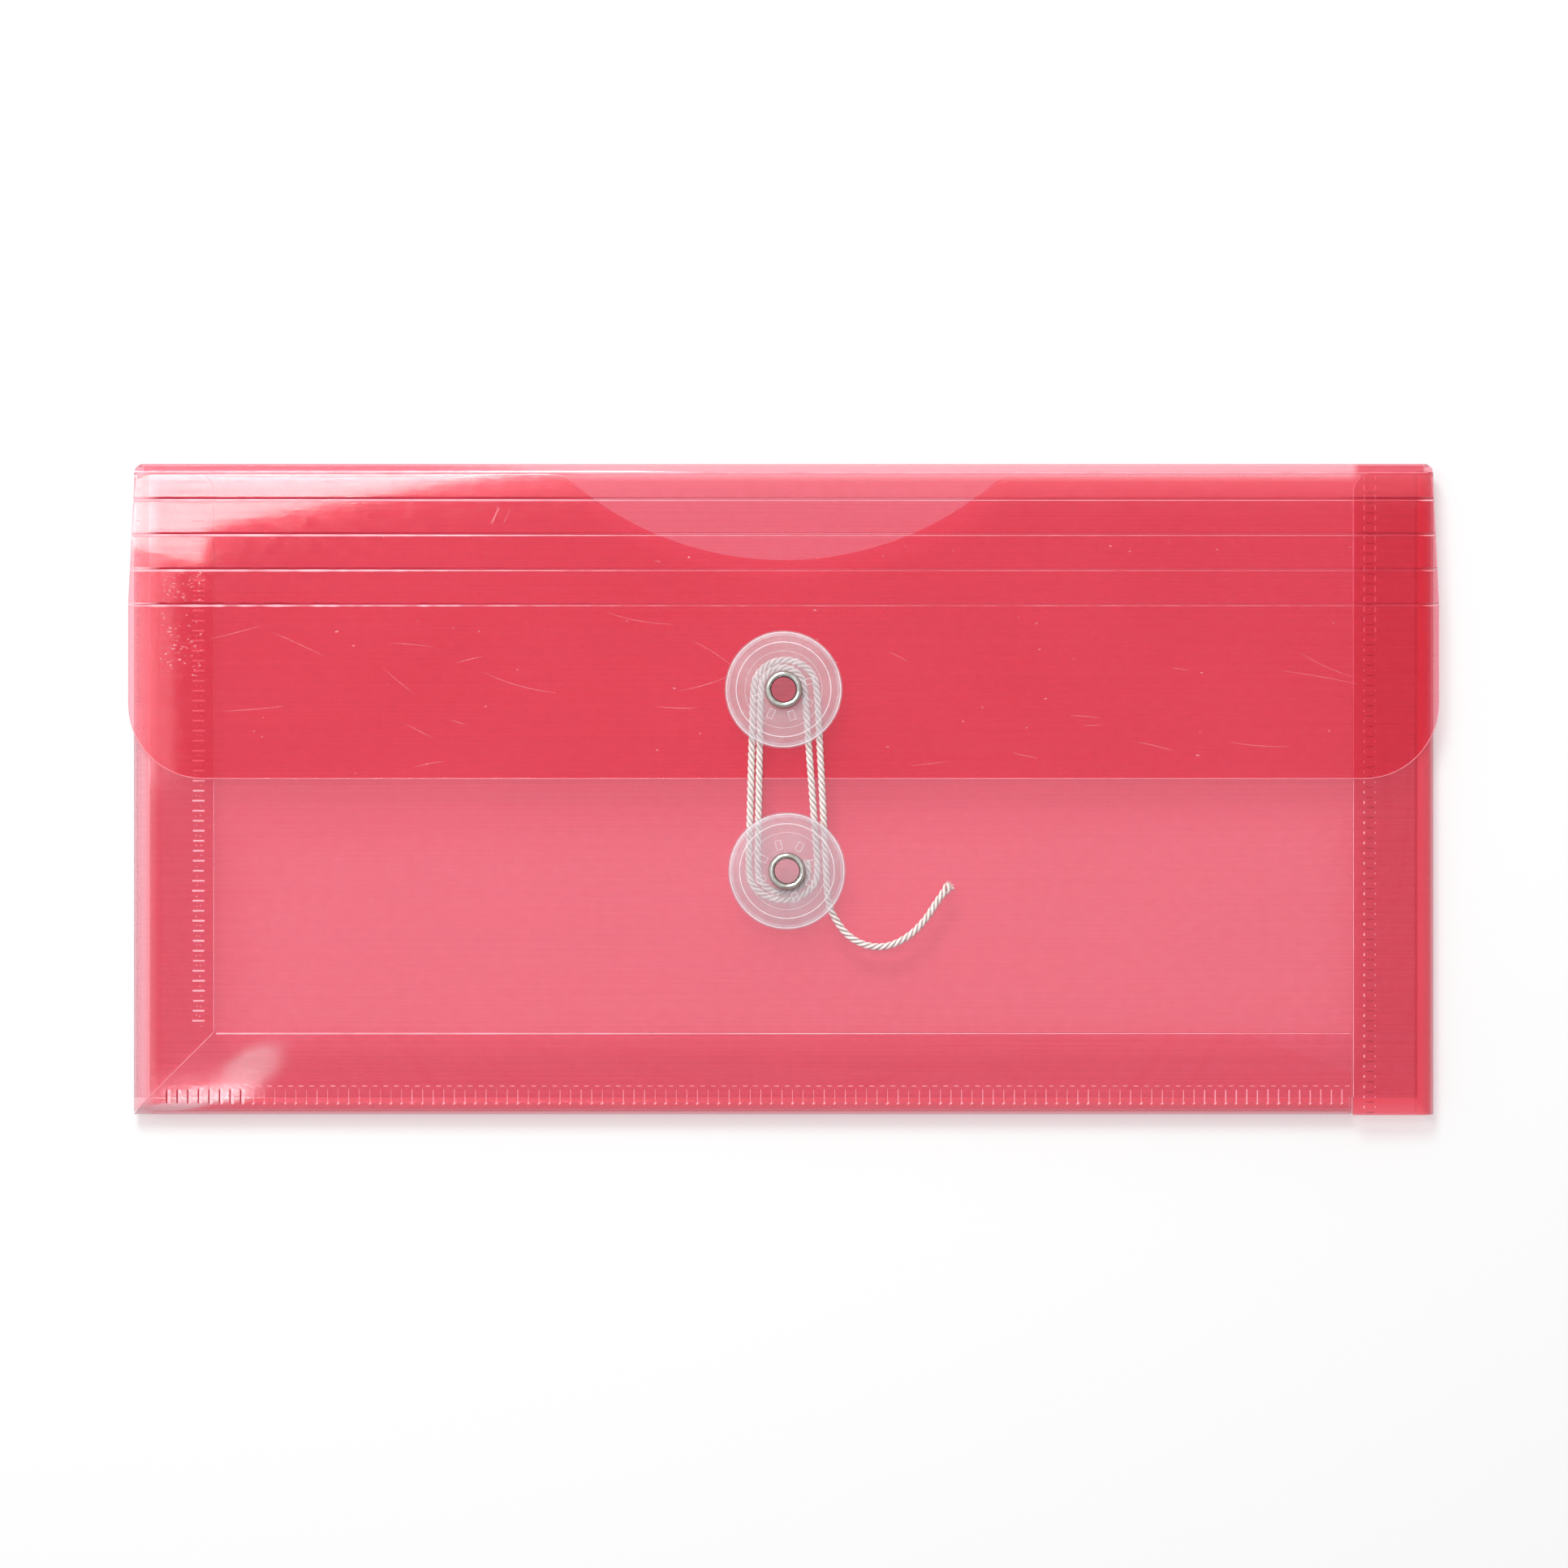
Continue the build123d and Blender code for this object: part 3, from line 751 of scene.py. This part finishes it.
def makeEdges(s):
    inset = s["halfWidth"]
    flap = s["flap"]
    wide, low, radius = flap["half"] - inset, flap["foot"] + inset, flap["corner"] - inset
    flapLine = [(wide, flap["top"]), (wide, low + radius)]
    flapLine += list(arcPoints((wide - radius, low + radius), radius, 0, -90, flap["steps"]))[1:]
    flapLine += [(x, low) for x in flap["middles"]]
    flapLine += list(arcPoints((radius - wide, low + radius), radius, -90, -180, flap["steps"]))
    flapLine += [(-wide, flap["top"])]
    edgePiece("flapEdge", [flapLine], s["flapFace"], "flap", s)
    strips = s["strips"]
    for number, (top, foot) in enumerate(zip(strips["tops"], strips["feet"])):
        upper, lower = [strips["half"] + strips["widens"] * (strips["from"] - y) / strips["run"] - inset
                        for y in (top, foot)]
        start = top if number else strips["firstTop"]
        lines = [[(sign * upper, start), (sign * lower, foot)] for sign in (1, -1)]
        edgePiece(f"flapStripEdge{number + 1}", lines, s["flapFace"], f"flap_strip_{number + 1}", s)

    cut = s["thumbCut"]
    high, half, depth = cut["high"], cut["half"], cut["depth"]
    bow = (half * half + depth * depth) / (2 * depth)  # radius of the cut
    reach = math.degrees(math.asin((half - cut["arcInset"]) / bow))
    end = [(x, high - inset) for x in cut["straight"]] + [(x, high - drop) for x, drop in cut["shoulders"]]
    cutLine = [(-x, y) for x, y in end]
    cutLine += list(arcPoints((0, high - depth + bow), bow + inset, -90 - reach, -90 + reach, cut["steps"]))
    cutLine += list(reversed(end))
    edgePiece("thumbCutEdge", [cutLine], s["frontFace"], "pocket", s)

    tabs = s["tabs"]
    inner, corner = tabs["inner"], tabs["corner"]
    leftLine = [(-inner - inset, tabs["foot"]), (-inner - inset, tabs["top"])]
    leftLine += list(arcPoints((-inner - corner, tabs["cornerRow"]), corner - inset, 0, 90, tabs["steps"]))
    leftLine += [(-tabs["outer"], tabs["high"] - inset)]
    edgePiece("leftTabEdge", [leftLine, tabs["mitre"]], s["tabFace"], "pocket", s)
    rightLine = [(inner + inset, y) for y in tabs["rightRows"]]
    rightLine += list(arcPoints((inner + corner, tabs["cornerRow"]), corner - inset, 180, 90, tabs["steps"]))
    rightLine += [(tabs["outer"], tabs["high"] - inset)]
    edgePiece("rightTabEdge", [rightLine], s["tabFace"], "pocket", s, tabs["rightShares"], redRidgeHighlight)
    lip = s["bottomLip"]
    lipLine = [(x, lip["row"] - inset * lip["insetShare"]) for x in lip["stops"]]
    edgePiece("bottomTabEdge", [lipLine], s["tabFace"], "pocket", s, lip["sizeShares"], redRidgeHighlight)
    # a pale bead along the top fold, over the seam to the first strip: painted highlight of the fold
    fold = s["topFold"]
    foldLine = [(x, fold["row"]) for x in fold["stops"]]
    edgePiece("topFoldEdge", [foldLine], fold["face"], "flap_strip_1", s, fold["sizeShares"], redSeamHighlight)


makeEdges(edgeSet)
print("cut edges made")


# welds along the tabs: ladders of small raised bars and dots

weldSet = {  # lengths in mm
    "level": 6.5, "height": 0.06, "topShare": 0.55, "seed": 3,
    "leftBars": {"x": -114.05, "length": 2.35, "width": 0.36, "pitch": 1.95, "from": 52.35, "to": -46.9,
                 "shift": 0.05, "lengthShares": (0.9, 1.04), "fadeFrom": 45, "fadeShare": 0.55},
    "leftDots": {"x": (-114.5, -113.7), "length": 0.22, "width": 0.176, "madeShare": 0.75,
                 "shift": (0.2, 0.15), "lengthShares": (0.9, 1.5), "heightShare": 0.7},
    "rightColumns": {"x": (113.2, 115.35), "length": 0.52, "tallLength": 1.0, "width": 0.3, "pitch": 1.98,
                     "from": 60.8, "to": -62.4, "flapEnd": 30.0, "lengthShares": (0.85, 1.1),
                     "weakShare": 0.6},
    "rightBars": {"x": 114.3, "length": 1.5, "width": 0.2, "heightShare": 0.6},
    "bottomBars": {"y": -59.85, "length": 2.7, "width": 0.24, "pitch": 2.06, "from": -119.8, "to": 109.2,
                   "strongBars": 8, "clearFrom": 82.0, "lengthShares": (0.9, 1.03), "strongShare": 2.6,
                   "clearShare": 0.9, "faintShares": (0.3, 0.6), "lowShare": 0.5, "grooveOffShare": 2.1,
                   "grooveShare": 1.1},
    "bottomDots": {"y": -61.25, "length": 0.5, "width": 0.3, "shift": 0.05, "along": (1, 0.8),
                   "lengthShares": (0.8, 1.2)},
    "bottomDashes": {"y": -57.85, "length": 0.9, "width": 0.14, "heightShare": 0.5},
}


def makeWelds(s):
    draw = random.Random(s["seed"])

    def shifted(value, reach):
        return value + draw.uniform(-reach, reach)

    def uneven(row):
        return row["length"] * draw.uniform(*row["lengthShares"])

    def bar(shape, x, y, along, length, width, tallShare=1.0):
        addLoaf(shape, (x * mm, y * mm), along, length * mm, width * mm, s["level"] * mm,
                s["height"] * mm * tallShare, s["topShare"])

    pads = ([], [])
    bars, dots = s["leftBars"], s["leftDots"]
    y = bars["from"]
    while y > bars["to"]:
        fade = bars["fadeShare"] if y > bars["fadeFrom"] else 1.0
        bar(pads, shifted(bars["x"], bars["shift"]), y, (1, 0), uneven(bars), bars["width"], fade)
        for x in dots["x"]:
            if draw.random() < dots["madeShare"]:
                bar(pads, shifted(x, dots["shift"][0]), shifted(y - bars["pitch"] / 2, dots["shift"][1]),
                    (1, 0), uneven(dots), dots["width"], dots["heightShare"])
        y -= bars["pitch"]
    makePiece("leftWelds", pads, weldPad, "pocket")

    pads, grooves = ([], []), ([], [])
    columns, cross = s["rightColumns"], s["rightBars"]
    y = columns["from"]
    while y > columns["to"]:
        high = y > columns["flapEnd"]
        for x in columns["x"]:
            weak = 1.0 if high or x < cross["x"] else columns["weakShare"]
            long = columns["tallLength"] if high else columns["length"] * weak
            bar(pads, x, y, (0, 1), long * draw.uniform(*columns["lengthShares"]), columns["width"] * weak)
        bar(grooves, cross["x"], y - columns["pitch"] / 2, (1, 0), cross["length"], cross["width"],
            cross["heightShare"])
        y -= columns["pitch"]
    makePiece("rightWelds", pads, weldPad, "pocket")
    # the dark cross bars between the weld columns are painted shade
    makePiece("rightWeldGrooves", grooves, weldGrooveShade, "pocket")

    pads, grooves = ([], []), ([], [])
    bars, dots, dashes = s["bottomBars"], s["bottomDots"], s["bottomDashes"]
    x, number = bars["from"], 0
    while x < bars["to"]:
        strong = number < bars["strongBars"]  # the first bars are drawn wider and taller, each with a dark line of painted shade on its left
        if strong:
            wide = bars["strongShare"]
        elif x > bars["clearFrom"]:
            wide = bars["clearShare"]
        else:
            wide = draw.uniform(*bars["faintShares"])
        tall = 1.0 if strong else bars["lowShare"]
        bar(pads, x, bars["y"], (0, 1), uneven(bars), bars["width"] * wide, tall)
        if strong:
            bar(grooves, x - bars["width"] * bars["grooveOffShare"], bars["y"], (0, 1), bars["length"],
                bars["width"] * bars["grooveShare"])
        bar(pads, shifted(x, dots["shift"]), dots["y"], dots["along"], uneven(dots), dots["width"])
        bar(pads, x + bars["pitch"] / 2, dashes["y"], (1, 0), dashes["length"], dashes["width"],
            dashes["heightShare"])
        x += bars["pitch"]
        number += 1
    makePiece("bottomWelds", pads, weldPad, "pocket")
    makePiece("bottomWeldGrooves", grooves, redScoreShade, "pocket")


makeWelds(weldSet)
print("welds made")


# moulded lines and rim of the two buttons

buttonSet = {  # lengths in mm
    "upper": {"body": "upper_button", "centre": (0.0, 19.4), "face": 7.3},
    "lower": {"body": "lower_button", "centre": (0.65, -15.9), "face": 6.0},
    "top": 3.9, "rings": ((9.2, 0.09, 3.89), (7.5, 0.035, 3.89), (11.1, 0.09, 3.47)),
    "ringHeight": 0.03, "steps": 96,
    "rim": ((10.45, 3.54), (10.47, 3.578), (10.6, 3.566), (11.0, 3.50), (11.12, 3.476), (11.12, 3.42)),
    "pockets": 8, "pocketStart": 17.5, "pocketSink": 0.01, "pocketHalf": 0.045, "pocketHeight": 0.021,
    "pocketLine": ((4.4, -0.55), (6.2, -0.55), (6.2, 0.55), (4.4, 0.55), (4.4, -0.55)),  # outwards, aside
}


def addSpun(shape, profile, place, steps):
    verts, faces = shape
    first, wide = len(verts), len(profile)
    (x, y), face = place["centre"], place["face"]
    for i in range(steps):
        angle = 2 * math.pi * i / steps
        for r, z in profile:
            verts.append(((x + r * math.cos(angle)) * mm, (y + r * math.sin(angle)) * mm, (face + z) * mm))
    for i in range(steps):
        here, there = first + i * wide, first + (i + 1) % steps * wide
        for k in range(wide):
            after = (k + 1) % wide
            faces.append([here + k, here + after, there + after, there + k])


def makeButtonLines(s):
    for side in ("upper", "lower"):
        button = s[side]
        shape = ([], [])
        addSpun(shape, s["rim"], button, s["steps"])
        makePiece(side + "ButtonRim", shape, mouldedRim, button["body"], smooth=True)
        shape = ([], [])
        for radius, half, foot in s["rings"]:
            line = [(radius + across * half, foot + up * s["ringHeight"]) for across, up in beadProfile]
            addSpun(shape, line, button, s["steps"])
        level = (button["face"] + s["top"] - s["pocketSink"]) * mm
        for number in range(s["pockets"]):
            turn = math.radians(s["pocketStart"] + number * 360 / s["pockets"])
            line = [((button["centre"][0] + r * math.cos(turn) - t * math.sin(turn)) * mm,
                     (button["centre"][1] + r * math.sin(turn) + t * math.cos(turn)) * mm)
                    for r, t in s["pocketLine"]]
            addBead(shape, line, level, s["pocketHalf"] * mm, s["pocketHeight"] * mm)
        makePiece(side + "ButtonLines", shape, mouldedLineHighlight, button["body"], smooth=True)


makeButtonLines(buttonSet)
print("button lines made")


# rolled eyelets, each with its barrel and its clinched foot

eyeletSet = {  # lengths in mm
    "upper": {"body": "flap", "centre": (0.0, 19.4), "face": 7.3},
    "lower": {"body": "pocket", "centre": (0.65, -15.9), "face": 6.0},
    "bore": (2.38, -0.95), "crown": (3.0, 4.22), "crownRadius": 0.62, "crownSteps": 18,
    "rest": ((3.6, 4.08), (3.5, 4.01), (2.70, 4.01), (2.69, -0.81), (3.30, -0.82), (3.44, -0.88),
             (3.46, -0.98), (3.34, -1.07), (3.10, -1.09), (2.70, -1.09), (2.45, -1.05)),
    "steps": 96,
}


def makeEyelets(s):
    for side in ("upper", "lower"):
        eyelet = s[side]
        shape = ([], [])
        roll = list(arcPoints(s["crown"], s["crownRadius"], 180, 0, s["crownSteps"]))
        addSpun(shape, [s["bore"]] + roll + list(s["rest"]), eyelet, s["steps"])
        piece = makePiece(side + "RolledEyelet", shape, nickel, eyelet["body"], smooth=True)
        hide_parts(side + "_eyelet")


makeEyelets(eyeletSet)
print("eyelets rolled")


# hairline scratches, specks and scuffs, and the small tuck at the flap's top left corner

wearSet = {  # lengths in mm
    "face": 7.3, "half": 0.045, "height": 0.012, "seed": 11,
    "panel": {"count": 26, "x": (-115, 110), "y": (4.5, 34.0), "length": (2.0, 15.0), "angle": (2, 40),
              "bend": 0.015, "inside": (3.0, 35.3), "sizeShares": (0.4, 0.8, 1.0, 1.0, 0.8, 0.4)},
    "cluster": {"body": "flap_strip_2", "count": 5, "x": (-56.5, -51.0), "y": 53.25, "length": (3.0, 4.2),
                "angle": (62, 74), "alongShares": (-0.5, -0.2, 0.2, 0.5), "sizeShares": (0.4, 1.0, 1.0, 0.4)},
    "specks": {"size": (0.1, 0.26), "lean": 0.5, "lengthShares": (1.0, 2.6), "heightShare": 1.5,
               "topShare": 0.5, "fields": (
                   ("flapSpecks", "flap", 46, (-110, 122), (3.0, 35.0)),
                   ("flapScuff", "flap", 90, (-121.5, -113.0), (22.0, 35.2)),
                   ("stripScuff", "flap_strip_4", 80, (-121.5, -113.0), (36.8, 42.2)),
                   ("stripSpecks", "flap_strip_3", 16, (-105, 122), (43.8, 49.2)),
               )},
    "tuck": {"corners": ((-126.1, 61.55), (-123.4, 61.55), (-125.9, 60.3)), "sink": 0.02, "rise": 0.03,
             "insetShare": 0.1},
}


def makeWear(s):
    draw = random.Random(s["seed"])

    def scratch(shape, line, sizeShares):
        addBead(shape, [(x * mm, y * mm) for x, y in line], s["face"] * mm, s["half"] * mm,
                s["height"] * mm, sizeShares)

    scratches = ([], [])
    panel = s["panel"]
    steps = len(panel["sizeShares"]) - 1
    for _ in range(panel["count"]):
        x, y = draw.uniform(*panel["x"]), draw.uniform(*panel["y"])
        length = draw.uniform(*panel["length"])
        angle = math.radians(draw.choice((-1, 1)) * draw.uniform(*panel["angle"]))
        bend = draw.uniform(-panel["bend"], panel["bend"])
        line = []
        for k in range(steps + 1):
            along = length * (k / steps - 0.5)
            bow = bend * along * along
            line.append((x + along * math.cos(angle) - bow * math.sin(angle),
                         y + along * math.sin(angle) + bow * math.cos(angle)))
        if all(panel["inside"][0] < py < panel["inside"][1] for _, py in line):
            scratch(scratches, line, panel["sizeShares"])
    makePiece("flapScratches", scratches, scratchedSheet, "flap", smooth=True)

    scratches = ([], [])
    cluster = s["cluster"]
    for _ in range(cluster["count"]):
        x = draw.uniform(*cluster["x"])
        length = draw.uniform(*cluster["length"])
        angle = math.radians(draw.uniform(*cluster["angle"]))
        line = [(x + length * t * math.cos(angle), cluster["y"] + length * t * math.sin(angle))
                for t in cluster["alongShares"]]
        scratch(scratches, line, cluster["sizeShares"])
    makePiece("stripScratches", scratches, scratchedSheet, cluster["body"], smooth=True)

    specks = s["specks"]
    for name, body, count, across, up in specks["fields"]:
        field = ([], [])
        for _ in range(count):
            size = draw.uniform(*specks["size"]) * mm
            place = (draw.uniform(*across) * mm, draw.uniform(*up) * mm)
            along = (1, draw.uniform(-specks["lean"], specks["lean"]))
            addLoaf(field, place, along, size * draw.uniform(*specks["lengthShares"]), size, s["face"] * mm,
                    s["height"] * specks["heightShare"] * mm, specks["topShare"])
        makePiece(name, field, scratchedSheet, body)

    tuck = s["tuck"]
    inset = tuck["insetShare"]
    foot, top = (s["face"] - tuck["sink"]) * mm, (s["face"] + tuck["rise"]) * mm
    low = [(x * mm, y * mm, foot) for x, y in tuck["corners"]]
    midX, midY = [sum(p[axis] for p in low) / len(low) for axis in (0, 1)]
    high = [(x * (1 - inset) + midX * inset, y * (1 - inset) + midY * inset, top) for x, y, _ in low]
    faces = [(2, 1, 0), (3, 4, 5), (0, 1, 4, 3), (1, 2, 5, 4), (2, 0, 3, 5)]
    makePiece("cornerTuck", (low + high, faces), redScoreShade, "flap_strip_1")


makeWear(wearSet)
print("wear made")


# floor, world and lamps

floorSet = {"size": 6.0, "level": -0.15 * mm, "paper": (0.97, 0.97, 0.97), "glowShare": 0.36}


def makeFloor(s):
    half = s["size"] / 2
    mesh = bpy.data.meshes.new("floorPaper")
    corners = [(x * half, y * half, s["level"]) for x, y in ((-1, -1), (1, -1), (1, 1), (-1, 1))]
    mesh.from_pydata(corners, [], [(0, 1, 2, 3)])
    material, tree = newMaterial("floorPaper")
    paper = tinted(tree, "BsdfDiffuse", s["paper"])
    glow = addNode(tree, "Emission", {"Strength": 1.0})
    ray = addNode(tree, "LightPath")
    seen = maths(tree, "MAXIMUM", ray.outputs["Is Camera Ray"], ray.outputs["Is Glossy Ray"])
    seen = maths(tree, "MAXIMUM", seen, ray.outputs["Is Transmission Ray"])
    showShader(tree, mixedShaders(tree, maths(tree, "MULTIPLY", seen, s["glowShare"]), paper, glow))
    mesh.materials.append(material)
    floor = bpy.data.objects.new("floorPaper", mesh)
    scene.collection.objects.link(floor)


makeFloor(floorSet)

worldSet = {"dark": (0.24, 0.24, 0.245), "bright": (0.64, 0.64, 0.65), "window": (-0.55, 0.75, 0.25),
            "span": (-0.6, 0.9)}


def makeWorld(s):
    world = bpy.data.worlds.new("studioWorld")
    world.use_nodes = True
    tree = world.node_tree
    tree.nodes.clear()
    place = addNode(tree, "TexCoord")
    towards = addNode(tree, "VectorMath", {1: s["window"]}, operation="DOT_PRODUCT")  # 1 at the window
    wire(tree, place.outputs["Generated"], towards.inputs[0])
    sky = addNode(tree, "Background")
    lit = ranged(tree, towards.outputs["Value"], *s["span"])
    wire(tree, blended(tree, lit, s["dark"], s["bright"]), sky.inputs["Color"])
    showShader(tree, sky, "OutputWorld")
    scene.world = world


makeWorld(worldSet)


def addLamp(name, place, size, radiance, target=None, turn=0.0, colour=(1, 1, 1)):
    data = bpy.data.lights.new(name, "AREA")
    data.shape = "RECTANGLE"
    data.size, data.size_y = size
    data.energy = radiance * math.pi * size[0] * size[1]
    data.color = colour
    lamp = bpy.data.objects.new(name, data)
    lamp.location = place
    if target is None:
        lamp.rotation_euler = (0, 0, math.radians(turn))
    else:
        lamp.rotation_euler = (Vector(target) - Vector(place)).to_track_quat("-Z", "Y").to_euler()
    scene.collection.objects.link(lamp)


lampSet = {
    "key": {"place": (-0.20, 0.66, 0.98), "size": (0.36, 0.36), "radiance": 23.0},
    "mirrored": {  # soft cards, each given by where the camera sees it mirrored in the flat sheets, in mm
        "front": {"middle": (1.5, -28.5), "height": 1000, "size": (214, 40), "radiance": 1.0, "turn": 1.0},
        "corner": {"middle": (-96.0, 74.0), "height": 700, "size": (104, 40), "radiance": 20.5, "turn": 10.3,
                   "colour": (1.0, 0.99, 0.93)},
        "cornerLow": {"middle": (-119.5, 49.0), "height": 700, "size": (15, 8), "radiance": 18.0,
                      "turn": -14.0, "colour": (1.0, 0.99, 0.93)},
        "left": {"middle": (-125.0, 24.0), "height": 700, "size": (13, 46), "radiance": 3.0},
        "top": {"middle": (35, 65.0), "height": 900, "size": (200, 18), "radiance": 1.5},
        "foot": {"middle": (-112.0, -59.8), "height": 700, "size": (18, 3), "radiance": 15.0},
    },
}


def makeLamps(s):
    addLamp("keyLamp", s["key"]["place"], s["key"]["size"], s["key"]["radiance"], target=(0, 0, 0))
    for name, lamp in s["mirrored"].items():
        height = lamp["height"] * mm
        spread = 1 + height / cameraDistance
        place = [v * mm * spread for v in lamp["middle"]] + [height]
        size = [v * mm * spread for v in lamp["size"]]
        addLamp(name + "Lamp", place, size, lamp["radiance"], turn=lamp.get("turn", 0.0),
                colour=lamp.get("colour", (1, 1, 1)))


makeLamps(lampSet)
print("floor, world and lamps made")
